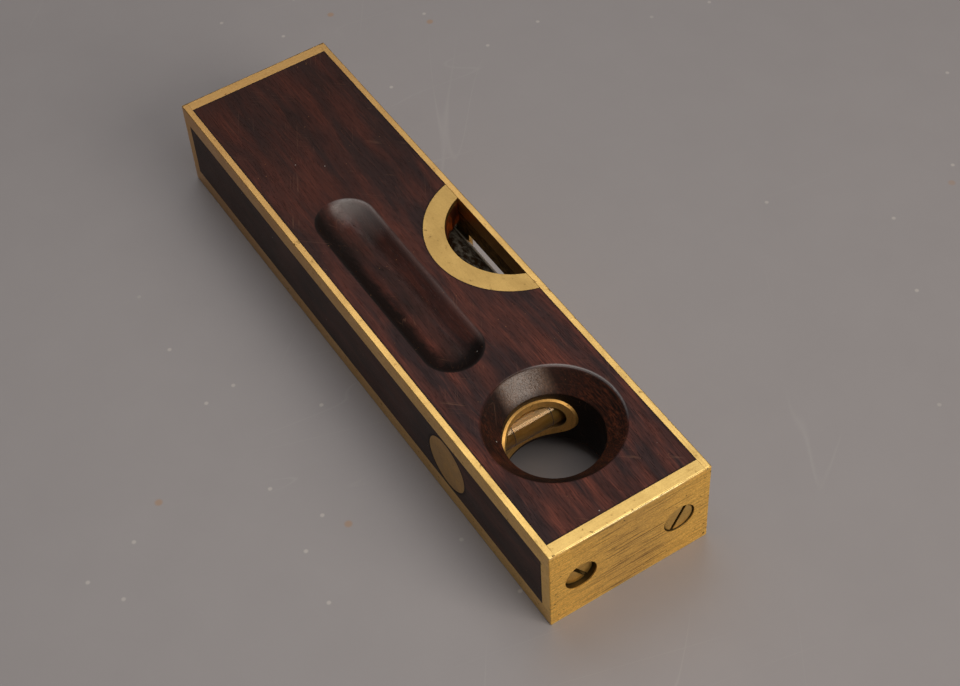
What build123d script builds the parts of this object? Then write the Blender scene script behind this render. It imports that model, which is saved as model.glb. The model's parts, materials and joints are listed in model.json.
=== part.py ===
from build123d import *

import math
import os

# Brass-bound rosewood pocket level, lying on a broad side.
# X runs along the level, Y from the sole (-Y) to the top edge (+Y), Z through its thickness.
# The origin is the middle of the broad face that it lies on. Sizes are in millimetres.

INCH = 25.4

# stock
LENGTH = 6.5 * INCH
WIDTH = 1.625 * INCH
THICK = 1.0 * INCH
MID_Z = THICK / 2
EDGE_ROUND = 0.3
FIT = 0.02

# corner strips and end plates
STRIP_DEEP = INCH / 16
STRIP_WIDE = 3 * INCH / 16
END_THICK = INCH / 8
STRIP_INNER_Y = WIDTH / 2 - STRIP_DEEP
WOOD_HALF = LENGTH / 2 - END_THICK

# end screws: distance from the middle, how far each head lies below the face, slot angle
SCREW_Y = 0.5 * INCH
COUNTERBORE_R = 4.0
END_HEAD_R = 3.7
END_SHANK_R = 1.9
END_SCREW_LONG = 16.0
HEAD_LAND = 0.35
SOLE_SIDE_SINK = 1.35
TOP_SIDE_SINK = 0.4
SOLE_SIDE_SLOT = 34.0
TOP_SIDE_SLOT = 151.0

# plumb hole: a bore with a dished flare at both faces
HOLE_X = 54.0
HOLE_RIM_R = 0.625 * INCH
HOLE_BORE_R = 11.5
RIM_ROUND = 0.45
FLARE_DEEP = 4.8
FLARE_DISH = 0.1

# plumb vial and its brass tube, which crosses the edge of the plumb hole and stands a little
# proud of the bore; a wider cap closes the tube at the sole
TUBE_X = 42.15
TUBE_R = 0.25 * INCH
TUBE_BORE_R = 4.55
TUBE_CUT_R = 10.9
TUBE_TOP_Y = 16.5
CAP_R = 9 * INCH / 32
CAP_THICK = 2.4
CAP_SPIGOT = 2.0
PLUMB_VIAL_X = 41.85
PLUMB_VIAL_R = 5 * INCH / 32
PLUMB_VIAL_HALF = 15.0
PLUMB_WALL = 0.8
PLUMB_PACKING_Y = 10.7

# side windows: a hole bored through near the top edge, with a flush half-moon plate on each face
WINDOW_Y = 24.875
WINDOW_R = 0.625 * INCH
MOON_R = 21.1
MOON_THICK = INCH / 16

# level vial, its mortise and the top plate
VIAL_Y = 14.2
VIAL_R = 3 * INCH / 16
VIAL_HALF = 24.0
VIAL_WALL = 1.0
MORTISE_HALF = 26.0
MORTISE_R = 5.0
PACKING_X = 16.5
TOP_PLATE_HALF = 1.375 * INCH
SIGHT_HALF = 10.9
SIGHT_WIDE = 0.25 * INCH
SIGHT_BEVEL = 0.8
TOP_SCREW_X = 30.0
TOP_HEAD_R = 2.9
TOP_SHANK_R = 1.35
TOP_SCREW_LONG = 12.0

# vials: the bore swells a little towards the middle, so that the bubble comes to rest there
BARREL = 0.1
BUBBLE_GAP = 0.15
SPIRIT_GAP = 0.05
NIB_R = 0.9
NIB_LONG = 1.5

# finger grips
GRIP_Y = -6.75
GRIP_HALF = 30.4
GRIP_WIDE = 13.6
GRIP_DEEP = 3.8
GRIP_ROUND = 1.4

THREAD_PITCH = 1.5
THREAD_DEEP = 0.4
SLOT_WIDE = 0.9
SLOT_DEEP = 1.1


def block(low, high):
    """A box from its low corner to its high corner."""
    size = [b - a for a, b in zip(low, high)]
    centre = [(a + b) / 2 for a, b in zip(low, high)]
    return Pos(*centre) * Box(*size)


def along_x(radius, start, end, y, z):
    """A cylinder along X."""
    return Pos((start + end) / 2, y, z) * Rot(Y=90) * Cylinder(radius, end - start)


def along_y(radius, start, end, x, z):
    """A cylinder along Y."""
    return Pos(x, (start + end) / 2, z) * Rot(X=90) * Cylinder(radius, end - start)


def round_edges(solid, keep):
    """Rounds the edges whose middle passes the test."""
    edges = [edge for edge in solid.edges() if keep(edge @ 0.5)]
    return fillet(edges, EDGE_ROUND)


def at(value, target):
    return abs(value - target) < 1e-4


def to_upper(solid):
    """Turns a piece of the lower broad face over to the upper one."""
    return mirror(solid, Plane.XY.offset(MID_Z))


# ---- brass binding -------------------------------------------------------------------------


def strip_space(side_y, half_length):
    """The rebate of one lower corner strip. side_y is -1 at the sole and 1 at the top edge."""
    inner = side_y * STRIP_INNER_Y
    outer = side_y * WIDTH / 2
    low = (-half_length, min(inner, outer), 0)
    high = (half_length, max(inner, outer), STRIP_WIDE)
    return block(low, high)


def corner_strip(side_y):
    """A lower corner strip, rounded on its outside edges."""

    def outside(point):
        faces = [at(abs(point.X), LENGTH / 2), at(point.Y, side_y * WIDTH / 2), at(point.Z, 0)]
        return sum(faces) >= 2

    return round_edges(strip_space(side_y, LENGTH / 2), outside)


def all_strip_spaces():
    lower = strip_space(-1, LENGTH) + strip_space(1, LENGTH)
    return lower + to_upper(lower)


def end_plate():
    """The near end plate, notched at its corners for the strips."""
    plate = block((WOOD_HALF, -WIDTH / 2, 0), (LENGTH / 2, WIDTH / 2, THICK))
    plate -= all_strip_spaces()

    def outside(point):
        side = at(abs(point.Y), WIDTH / 2) or at(point.Z, 0) or at(point.Z, THICK)
        return at(point.X, LENGTH / 2) and side

    return round_edges(plate, outside)


# ---- screws --------------------------------------------------------------------------------


def screw_outline(head_r, shank_r, long, gap):
    """Half the section of a countersunk wood screw, its head's top at z = 0 and its point below."""
    cone = head_r - shank_r
    core = shank_r - THREAD_DEEP
    points = [(0, 0), (head_r + gap, 0), (head_r + gap, -HEAD_LAND)]
    thread_top = -HEAD_LAND - cone - long / 4
    points += [(shank_r + gap, -HEAD_LAND - cone), (shank_r + gap, thread_top)]
    turns = int((long + thread_top - shank_r) / THREAD_PITCH)
    for turn in range(turns):
        top = thread_top - turn * THREAD_PITCH
        points += [(core, top - THREAD_PITCH * 0.45), (shank_r, top - THREAD_PITCH)]
    points.append((0, -long))
    return points


def screw(head_r, shank_r, long, slot_angle):
    """A slotted countersunk wood screw along Z, its head up."""
    section = make_face(Polyline(*screw_outline(head_r, shank_r, long, 0), close=True))
    body = revolve(Plane.XZ * section, Axis.Z)
    slot = Pos(Z=-SLOT_DEEP / 2) * Rot(Z=slot_angle) * Box(3 * head_r, SLOT_WIDE, SLOT_DEEP)
    return body - slot


def screw_hole(head_r, shank_r, long, sink):
    """The space of a countersunk screw, open above its head."""
    cone = head_r - shank_r
    points = [(0, sink + 1), (head_r + FIT, sink + 1), (head_r + FIT, -HEAD_LAND)]
    points += [(shank_r + FIT, -HEAD_LAND - cone), (shank_r + FIT, -long - FIT), (0, -long - FIT)]
    return revolve(Plane.XZ * make_face(Polyline(*points, close=True)), Axis.Z)


def near_end(y, sink):
    """Puts something made along Z at the near end plate, sunk below its face."""
    return Pos(LENGTH / 2 - sink, y, MID_Z) * Rot(Y=90)


def top_edge(x):
    """Puts something made along Z on the top edge."""
    return Pos(x, WIDTH / 2, MID_Z) * Rot(X=-90)


END_SCREWS = {
    "sole": (-SCREW_Y, SOLE_SIDE_SINK, SOLE_SIDE_SLOT),
    "top": (SCREW_Y, TOP_SIDE_SINK, TOP_SIDE_SLOT),
}


def end_screw_holes():
    """Both screw holes of the near end, with their wider mouths."""
    holes = []
    for y, sink, _ in END_SCREWS.values():
        mouth = Pos(Z=sink / 2 + 0.5) * Cylinder(COUNTERBORE_R, sink + 1 + 2 * HEAD_LAND)
        hole = screw_hole(END_HEAD_R, END_SHANK_R, END_SCREW_LONG, sink) + mouth
        holes.append(near_end(y, sink) * hole)
    return holes[0] + holes[1]


def top_screw_holes():
    hole = screw_hole(TOP_HEAD_R, TOP_SHANK_R, TOP_SCREW_LONG, 0)
    return top_edge(-TOP_SCREW_X) * hole + top_edge(TOP_SCREW_X) * hole


# ---- holes and windows ---------------------------------------------------------------------


def flare():
    """The dished flare of the plumb hole at the lower face, with its bore to mid-thickness."""
    face_r = HOLE_RIM_R + RIM_ROUND
    quarter = RIM_ROUND * (1 - math.sqrt(0.5))
    rim = ThreePointArc((face_r, 0), (HOLE_RIM_R + quarter, quarter), (HOLE_RIM_R, RIM_ROUND))
    middle = ((HOLE_RIM_R + HOLE_BORE_R) / 2 + FLARE_DISH, FLARE_DEEP / 2 + FLARE_DISH)
    dish = ThreePointArc((HOLE_RIM_R, RIM_ROUND), middle, (HOLE_BORE_R, FLARE_DEEP))
    bore = Polyline((HOLE_BORE_R, FLARE_DEEP), (HOLE_BORE_R, MID_Z), (0, MID_Z), (0, -1))
    outside = Polyline((0, -1), (face_r, -1), (face_r, 0))
    return Pos(X=HOLE_X) * revolve(Plane.XZ * make_face(rim + dish + bore + outside), Axis.Z)


def plumb_hole():
    return flare() + to_upper(flare())


def window_space():
    """The half-moon opening through both broad faces, below the corner strips."""
    disc = Pos(0, WINDOW_Y, MID_Z) * Cylinder(WINDOW_R, THICK + 2)
    return disc & block((-MOON_R, 0, -1), (MOON_R, STRIP_INNER_Y, THICK + 1))


def window_plate():
    """The half-moon plate of the lower face."""
    disc = Pos(0, WINDOW_Y, MOON_THICK / 2) * Cylinder(MOON_R, MOON_THICK)
    below = block((-MOON_R, 0, 0), (MOON_R, STRIP_INNER_Y, MOON_THICK))
    return (disc & below) - window_space()


def mortise():
    """The round-bottomed pocket for the level vial, open at the top plate."""
    low = (-MORTISE_HALF, 0, MID_Z - MORTISE_R)
    high = (MORTISE_HALF, STRIP_INNER_Y, MID_Z + MORTISE_R)
    floor = along_x(MORTISE_R, -MORTISE_HALF, MORTISE_HALF, VIAL_Y, MID_Z)
    walls = block((-MORTISE_HALF, VIAL_Y, low[2]), high)
    return (walls + floor) & block(low, high)


def top_plate_space():
    low = (-TOP_PLATE_HALF, STRIP_INNER_Y, STRIP_WIDE)
    high = (TOP_PLATE_HALF, WIDTH / 2, THICK - STRIP_WIDE)
    return block(low, high)


def top_plate():
    """The plate over the level vial, with its bevelled sight opening and screw holes."""
    low = (-SIGHT_HALF, 0, MID_Z - SIGHT_WIDE / 2)
    high = (SIGHT_HALF, WIDTH, MID_Z + SIGHT_WIDE / 2)
    plate = top_plate_space() - block(low, high)
    rim = [e for e in plate.edges() if at((e @ 0.5).Y, WIDTH / 2) and abs((e @ 0).X) < SIGHT_HALF + 1]
    return chamfer(rim, SIGHT_BEVEL) - top_screw_holes()


def finger_grip():
    """The ball-nosed finger grip of the lower face."""
    nose_r = ((GRIP_WIDE / 2) ** 2 + GRIP_DEEP**2) / (2 * GRIP_DEEP)
    run = GRIP_HALF - GRIP_WIDE / 2
    z = GRIP_DEEP - nose_r
    cut = along_x(nose_r, -run, run, GRIP_Y, z)
    for end in (-run, run):
        cut += Pos(end, GRIP_Y, z) * Sphere(nose_r)
    return cut


def grip_rims(wood):
    """The edges where the finger grips meet the broad faces."""
    rims = []
    for edge in wood.edges():
        ends = [edge @ 0, edge @ 0.5, edge @ 1]
        on_face = all(at(end.Z, 0) or at(end.Z, THICK) for end in ends)
        in_grip = all(abs(end.Y - GRIP_Y) < GRIP_WIDE / 2 + 1 for end in ends)
        if on_face and in_grip:
            rims.append(edge)
    return rims


# ---- plumb vial ----------------------------------------------------------------------------


def plumb_tube():
    """The brass tube, opened along one side by the plumb hole."""
    start = -WIDTH / 2 + CAP_THICK
    tube = along_y(TUBE_R, start, TUBE_TOP_Y, TUBE_X, MID_Z)
    tube -= along_y(TUBE_BORE_R, start - 1, TUBE_TOP_Y + 1, TUBE_X, MID_Z)
    return tube - Pos(HOLE_X, 0, MID_Z) * Cylinder(TUBE_CUT_R, THICK)


def sole_cap():
    """The disc that closes the tube at the sole, with a spigot inside the tube."""
    face = -WIDTH / 2
    disc = along_y(CAP_R, face, face + CAP_THICK, TUBE_X, MID_Z)
    spigot_end = face + CAP_THICK + CAP_SPIGOT
    return disc + along_y(TUBE_BORE_R - FIT, face, spigot_end, TUBE_X, MID_Z)


def tube_space():
    """The stepped hole in the wood for the tube and its cap."""
    tube = along_y(TUBE_R + FIT, -WIDTH / 2 - 1, TUBE_TOP_Y + FIT, TUBE_X, MID_Z)
    return tube + along_y(CAP_R + FIT, -WIDTH / 2 - 1, -WIDTH / 2 + CAP_THICK, TUBE_X, MID_Z)


# ---- vials ---------------------------------------------------------------------------------


def capsule(radius, half_length, barrel):
    """A round-ended rod along X, its radius swelling by the barrel towards the middle."""
    end_r = radius - barrel
    side = half_length - end_r
    axis = Line((-half_length, 0), (half_length, 0))
    right = CenterArc((side, 0), end_r, 0, 90)
    left = CenterArc((-side, 0), end_r, 90, 90)
    if barrel:
        top = ThreePointArc((side, end_r), (0, radius), (-side, end_r))
    else:
        top = Line((side, end_r), (-side, end_r))
    return revolve(make_face(axis + right + top + left), Axis.X)


def bubble(bore_r, half_length, deep, gap):
    """The bubble at the top of the bore: the bore's curve above, and an ellipsoid below."""
    wide = math.sqrt(bore_r**2 - (bore_r - deep) ** 2)
    pool = Pos(Z=bore_r) * scale(Sphere(1), by=(half_length + gap, wide + gap, deep + gap))
    return pool & along_x(bore_r - BUBBLE_GAP + gap, -half_length - 1, half_length + 1, 0, 0)


def vial(radius, half_length, wall, bubble_half, bubble_deep):
    """Glass, spirit and bubble of a vial along X at the origin, with its bubble at the top."""
    bore_r = radius - wall
    nib = Pos(X=half_length) * Rot(Y=90) * Cone(NIB_R, NIB_R / 2, 2 * NIB_LONG)
    glass = capsule(radius, half_length, 0) + nib - capsule(bore_r, half_length - wall, BARREL)
    spirit = capsule(bore_r - FIT, half_length - wall - FIT, BARREL)
    spirit -= bubble(bore_r, bubble_half, bubble_deep, SPIRIT_GAP)
    return glass, spirit, bubble(bore_r, bubble_half, bubble_deep, 0)


def packing(space, vial_body, start, end, axis):
    """Plaster that fills a space round a vial between two distances from the middle, on both sides."""
    far = 2 * LENGTH
    sides = []
    for low, high in ((start, end), (-end, -start)):
        lows = [-far] * 3
        highs = [far] * 3
        lows[axis] = low
        highs[axis] = high
        sides.append((space & block(lows, highs)) - vial_body)
    return sides


# ---- the assembly --------------------------------------------------------------------------

os.makedirs("parts", exist_ok=True)
parts = {}

for side, side_y in (("sole", -1), ("top", 1)):
    parts[f"{side}_strip_lower"] = corner_strip(side_y)
    parts[f"{side}_strip_upper"] = to_upper(corner_strip(side_y))

near_plate = end_plate() - end_screw_holes()
parts["end_plate_near"] = near_plate
parts["end_plate_far"] = mirror(near_plate, Plane.YZ)

for side, (y, sink, slot_angle) in END_SCREWS.items():
    near_screw = near_end(y, sink) * screw(END_HEAD_R, END_SHANK_R, END_SCREW_LONG, slot_angle)
    parts[f"end_screw_near_{side}"] = near_screw
    parts[f"end_screw_far_{side}"] = mirror(near_screw, Plane.YZ)

parts["window_plate_lower"] = window_plate()
parts["window_plate_upper"] = to_upper(window_plate())
parts["top_plate"] = top_plate()
for side, x, slot_angle in (("near", TOP_SCREW_X, 20), ("far", -TOP_SCREW_X, -35)):
    top_screw = screw(TOP_HEAD_R, TOP_SHANK_R, TOP_SCREW_LONG, slot_angle)
    parts[f"top_plate_screw_{side}"] = top_edge(x) * top_screw

level_at = Pos(0, VIAL_Y, MID_Z)
level_parts = vial(VIAL_R, VIAL_HALF, VIAL_WALL, bubble_half=5.6, bubble_deep=2.6)
parts["level_vial_glass"] = level_at * level_parts[0]
parts["level_vial_spirit"] = level_at * level_parts[1]
parts["level_bubble"] = level_at * level_parts[2]
level_body = level_at * capsule(VIAL_R + FIT, VIAL_HALF + FIT, 0)
nib_space = along_x(NIB_R + FIT, 0, MORTISE_HALF, VIAL_Y, MID_Z)
level_packing = packing(mortise(), level_body + nib_space, PACKING_X, MORTISE_HALF, axis=0)
parts["level_vial_plaster_near"], parts["level_vial_plaster_far"] = level_packing

plumb_at = Pos(PLUMB_VIAL_X, 0, MID_Z) * Rot(Z=90)
plumb_parts = vial(PLUMB_VIAL_R, PLUMB_VIAL_HALF, PLUMB_WALL, bubble_half=5.8, bubble_deep=2.3)
parts["plumb_vial_glass"] = plumb_at * plumb_parts[0]
parts["plumb_vial_spirit"] = plumb_at * plumb_parts[1]
parts["plumb_bubble"] = plumb_at * plumb_parts[2]
plumb_body = plumb_at * capsule(PLUMB_VIAL_R + FIT, PLUMB_VIAL_HALF + FIT, 0)
nib_space = along_y(NIB_R + FIT, 0, TUBE_TOP_Y, PLUMB_VIAL_X, MID_Z)
tube_bore = along_y(TUBE_BORE_R - FIT, -TUBE_TOP_Y, TUBE_TOP_Y, TUBE_X, MID_Z)
packing_end = WIDTH / 2 - CAP_THICK - CAP_SPIGOT
plumb_packing = packing(tube_bore, plumb_body + nib_space, PLUMB_PACKING_Y, packing_end, axis=1)
parts["plumb_vial_plaster_top"], parts["plumb_vial_plaster_sole"] = plumb_packing
parts["plumb_tube"] = plumb_tube()
parts["plumb_sole_cap"] = sole_cap()

near_holes = end_screw_holes()
wood = block((-WOOD_HALF, -WIDTH / 2, 0), (WOOD_HALF, WIDTH / 2, THICK))
wood -= all_strip_spaces()
wood -= near_holes
wood -= mirror(near_holes, Plane.YZ)
wood -= top_plate_space()
wood -= top_screw_holes()
wood -= mortise()
wood -= window_space()
wood -= window_plate()
wood -= to_upper(window_plate())
wood -= tube_space()
wood -= plumb_hole()
wood -= finger_grip()
wood -= to_upper(finger_grip())
parts["rosewood_body"] = fillet(grip_rims(wood), GRIP_ROUND)

for node, solid in parts.items():
    export_step(solid, f"parts/{node}.step")
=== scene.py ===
import json
import math
import random

import bmesh
import bpy
from mathutils import Matrix, Vector, noise


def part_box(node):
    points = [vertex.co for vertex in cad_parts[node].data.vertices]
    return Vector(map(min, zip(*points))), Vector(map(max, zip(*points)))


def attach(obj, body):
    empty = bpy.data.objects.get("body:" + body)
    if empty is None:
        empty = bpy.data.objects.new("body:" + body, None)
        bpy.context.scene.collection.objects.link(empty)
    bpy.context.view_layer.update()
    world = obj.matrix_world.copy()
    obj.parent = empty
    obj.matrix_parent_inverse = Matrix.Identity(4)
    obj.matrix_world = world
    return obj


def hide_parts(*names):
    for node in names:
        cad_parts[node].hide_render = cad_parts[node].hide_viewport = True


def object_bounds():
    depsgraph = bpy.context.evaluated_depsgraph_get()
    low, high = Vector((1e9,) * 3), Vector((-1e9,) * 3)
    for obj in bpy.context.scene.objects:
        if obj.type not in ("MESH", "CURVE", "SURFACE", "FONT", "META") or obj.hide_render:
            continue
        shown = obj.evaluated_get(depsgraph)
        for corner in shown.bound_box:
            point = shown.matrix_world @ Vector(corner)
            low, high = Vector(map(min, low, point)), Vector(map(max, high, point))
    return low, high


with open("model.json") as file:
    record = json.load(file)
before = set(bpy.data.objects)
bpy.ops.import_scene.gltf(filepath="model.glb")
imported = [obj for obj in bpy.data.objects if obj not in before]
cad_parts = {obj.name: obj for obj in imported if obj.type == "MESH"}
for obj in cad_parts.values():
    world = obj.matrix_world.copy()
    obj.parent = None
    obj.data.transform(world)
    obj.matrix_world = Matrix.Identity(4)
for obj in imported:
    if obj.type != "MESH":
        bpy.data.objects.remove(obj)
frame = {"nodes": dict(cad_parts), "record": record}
CAD_BOX = [list(corner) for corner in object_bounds()]

MM = 0.001
LOW, HIGH = (Vector(corner) for corner in CAD_BOX)
LENGTH, WIDTH, THICK = HIGH - LOW
MID_Z = THICK / 2
BODY = "level_body"
HOLE_X = 54 * MM
HOLE_R = 15.875 * MM
GRIP_Y = -6.75 * MM
GRIP_RUN = 23.6 * MM


# the bore of either vial narrows by this towards its ends
BARREL = 0.1 * MM
# the spirit reaches this far into the glass, and this film parts a bubble from the bore
SPIRIT_OVERLAP = 0.04 * MM
BUBBLE_FILM = 0.09 * MM


def size_of(node):
    low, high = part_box(node)
    return Vector(high) - Vector(low)


def middle_of(node, axis):
    """The middle of a CAD node's box along axis 0, 1 or 2."""
    low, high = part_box(node)
    return (low[axis] + high[axis]) / 2


STRIP_DEEP = size_of("sole_strip_upper").y
END_THICK = size_of("end_plate_near").x
END_HEAD_R = size_of("end_screw_near_top").z / 2
COUNTERBORE_R = END_HEAD_R + 0.3 * MM
SCREW_Y = middle_of("end_screw_near_top", 1)
END_SINKS = {side: HIGH.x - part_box(f"end_screw_near_{side}")[1][0] for side in ("sole", "top")}
CAP_X = middle_of("plumb_sole_cap", 0)
CAP_R = size_of("plumb_sole_cap").z / 2
# the window plate is part of a disc whose middle lies beyond the top edge
MOON_CHORD = size_of("window_plate_upper").x / 2
MOON_DEEP = size_of("window_plate_upper").y
MOON_R = (MOON_CHORD**2 + MOON_DEEP**2) / (2 * MOON_DEEP)
WINDOW_CENTRE = (0.0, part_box("window_plate_upper")[0][1] + MOON_R, 0.0)


# ---- camera, light and floor ---------------------------------------------------------------

CAMERA_AT = Vector((0.25955, -0.13306, 0.34417))
CAMERA_LOOKS_AT = Vector((0.01705, 0.00419, 0.0127))
CAMERA_ROLL = math.radians(-4.21)
CAMERA_LENS = 70.14
SENSOR = 36.0


def aim(thing, place, target, roll=0.0):
    """Puts a camera or light at a place, with its -Z axis towards the target."""
    thing.location = place
    turn = (target - place).to_track_quat("-Z", "Y").to_matrix()
    thing.rotation_euler = (turn @ Matrix.Rotation(roll, 3, "Z")).to_euler()


def make_camera():
    data = bpy.data.cameras.new("camera")
    data.lens = CAMERA_LENS
    data.sensor_width = SENSOR
    data.clip_start = 0.01
    camera = bpy.data.objects.new("camera", data)
    bpy.context.scene.collection.objects.link(camera)
    aim(camera, CAMERA_AT, CAMERA_LOOKS_AT, CAMERA_ROLL)
    bpy.context.scene.camera = camera


def softbox(name, direction, distance, size, radiance, colour):
    """A rectangular area light that shines at the object from a direction."""
    data = bpy.data.lights.new(name, "AREA")
    data.shape = "RECTANGLE"
    data.size, data.size_y = size
    data.energy = radiance * math.pi * size[0] * size[1]
    data.color = colour
    light = bpy.data.objects.new(name, data)
    bpy.context.scene.collection.objects.link(light)
    aim(light, Vector(direction).normalized() * distance, Vector((0, 0, MID_Z)))


def make_light():
    softbox("key", (0.81, 0.28, 0.51), 1.0, (0.6, 0.5), 5.2, (1.0, 0.94, 0.85))
    softbox("high_key", (0.45, 0.15, 0.88), 1.0, (0.62, 0.6), 1.55, (1.0, 0.95, 0.88))
    softbox("zenith", (0.02, -0.10, 1.0), 1.15, (0.5, 0.5), 1.15, (1.0, 0.98, 0.97))
    softbox("overhead", (-0.47, 0.14, 0.87), 1.2, (0.95, 0.75), 1.3, (1.0, 0.99, 0.98))
    world = bpy.data.worlds.new("studio")
    world.use_nodes = True
    sky = world.node_tree.nodes["Background"]
    sky.inputs["Color"].default_value = (0.95, 0.97, 1.0, 1.0)
    sky.inputs["Strength"].default_value = 0.12
    bpy.context.scene.world = world
    bpy.context.scene.view_settings.view_transform = "Standard"


# ---- materials -----------------------------------------------------------------------------


class Shader:
    """A material's nodes, with short calls for the kinds that are used here."""

    def __init__(self, name):
        self.material = bpy.data.materials.new(name)
        self.material.use_nodes = True
        self.tree = self.material.node_tree
        self.tree.nodes.clear()
        self.place = self.node("ShaderNodeTexCoord").outputs["Object"]

    def node(self, kind, inputs=None, **settings):
        made = self.tree.nodes.new(kind)
        for key, value in settings.items():
            setattr(made, key, value)
        for key, value in (inputs or {}).items():
            if isinstance(value, bpy.types.NodeSocket):
                self.tree.links.new(value, made.inputs[key])
            else:
                made.inputs[key].default_value = value
        return made

    def grid(self, x, y, z, turn=0.0, place=None):
        """Object coordinates, so many to the metre along each axis, turned about Z in degrees."""
        place = place or self.place
        if turn:
            turned = {"Vector": place, "Rotation": (0, 0, math.radians(turn))}
            place = self.node("ShaderNodeMapping", turned).outputs["Vector"]
        scaled = {0: place, 1: (x, y, z)}
        return self.node("ShaderNodeVectorMath", scaled, operation="MULTIPLY").outputs["Vector"]

    def noise(self, vector, detail=3.0, rough=0.5):
        inputs = {"Vector": vector, "Scale": 1.0, "Detail": detail, "Roughness": rough}
        return self.node("ShaderNodeTexNoise", inputs).outputs["Fac"]

    def cells(self, vector, scale=1.0, flat="3D"):
        """Distance from the nearest of scattered points, in 3D or on a plane in 2D."""
        inputs = {"Vector": vector, "Scale": scale}
        made = self.node("ShaderNodeTexVoronoi", inputs, voronoi_dimensions=flat)
        return made.outputs["Distance"]

    def band(self, value, low, high, to_low=0.0, to_high=1.0):
        inputs = {"Value": value, "From Min": low, "From Max": high, "To Min": to_low, "To Max": to_high}
        return self.node("ShaderNodeMapRange", inputs).outputs["Result"]

    def math(self, operation, a, b=0.0):
        return self.node("ShaderNodeMath", {0: a, 1: b}, operation=operation).outputs[0]

    def times(self, first, *others):
        product = first
        for other in others:
            product = self.math("MULTIPLY", product, other)
        return product

    def most(self, first, *others):
        highest = first
        for other in others:
            highest = self.math("MAXIMUM", highest, other)
        return highest

    def axes(self, vector=None):
        """The three parts of a vector, or of the object coordinates."""
        return self.node("ShaderNodeSeparateXYZ", {"Vector": vector or self.place}).outputs[:]

    def size(self, value):
        return self.math("ABSOLUTE", value)

    def from_axis(self, point, keep):
        """Distance from an axis through a point. keep is 0 along the axis and 1 across it."""
        across = self.grid(*keep)
        ends = {0: across, 1: tuple(c * k for c, k in zip(point, keep))}
        return self.node("ShaderNodeVectorMath", ends, operation="DISTANCE").outputs["Value"]

    def mix(self, factor, a, b):
        made = self.node("ShaderNodeMix", data_type="RGBA")
        for index, value in ((0, factor), (6, a), (7, b)):
            if isinstance(value, bpy.types.NodeSocket):
                self.tree.links.new(value, made.inputs[index])
            elif index == 0:
                made.inputs[index].default_value = value
            else:
                made.inputs[index].default_value = (*value, 1.0)
        return made.outputs[2]

    def bump(self, height, distance, normal=None):
        """A bump whose height of 1 stands so many metres proud."""
        inputs = {"Height": height, "Distance": distance, "Strength": 1.0}
        if normal:
            inputs["Normal"] = normal
        return self.node("ShaderNodeBump", inputs).outputs["Normal"]

    def surface(self, **inputs):
        """A Principled surface, which ends the material."""
        named = {key.replace("_", " "): value for key, value in inputs.items()}
        shader = self.node("ShaderNodeBsdfPrincipled", named)
        self.node("ShaderNodeOutputMaterial", {"Surface": shader.outputs["BSDF"]})
        return self.material

    def at_plumb(self):
        """1 on the near part of the level, which holds the plumb vial, and 0 on the rest."""
        return self.band(self.axes()[0], 30 * MM, 31 * MM)

    def from_screw(self):
        """Distance from the axis of the nearest end screw."""
        _, y, z = self.axes()
        along_y = self.math("SUBTRACT", self.size(y), SCREW_Y)
        along_z = self.math("SUBTRACT", z, MID_Z)
        squares = self.math("ADD", self.times(along_y, along_y), self.times(along_z, along_z))
        return self.math("SQRT", squares)

    def screw_mask(self, radius):
        """1 within a radius of an end screw's axis."""
        return self.band(self.from_screw(), radius, radius + 0.05 * MM, 1.0, 0.0)

    def below_end(self, start, full):
        """0 at an end face, and 1 beyond a depth below it."""
        return self.band(self.size(self.axes()[0]), LENGTH / 2 - full, LENGTH / 2 - start, 1.0, 0.0)


def near_line(s, value, line, reach):
    """1 where a coordinate is at a line, and 0 beyond its reach to either side."""
    away = s.math("ABSOLUTE", s.math("SUBTRACT", value, line))
    return s.band(away, 0.0, reach, 1.0, 0.0)


def scratches(s, turn, seed):
    """Hairlines that run mostly one way and break off: the level lines of a stretched noise."""
    lines = s.noise(s.grid(9, 420, 200, turn=turn, place=shifted(s, seed)), detail=1)
    hair = near_line(s, lines, 0.5, 0.008)
    patch = s.band(s.noise(s.grid(120, 150, 150, place=shifted(s, seed + 1)), detail=2), 0.55, 0.66)
    return s.math("MULTIPLY", hair, patch)


def shifted(s, seed):
    """Object coordinates moved well away, for noise that isn't the same as another's."""
    moved = {0: s.place, 1: (seed, seed, seed)}
    return s.node("ShaderNodeVectorMath", moved, operation="ADD").outputs[0]


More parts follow.
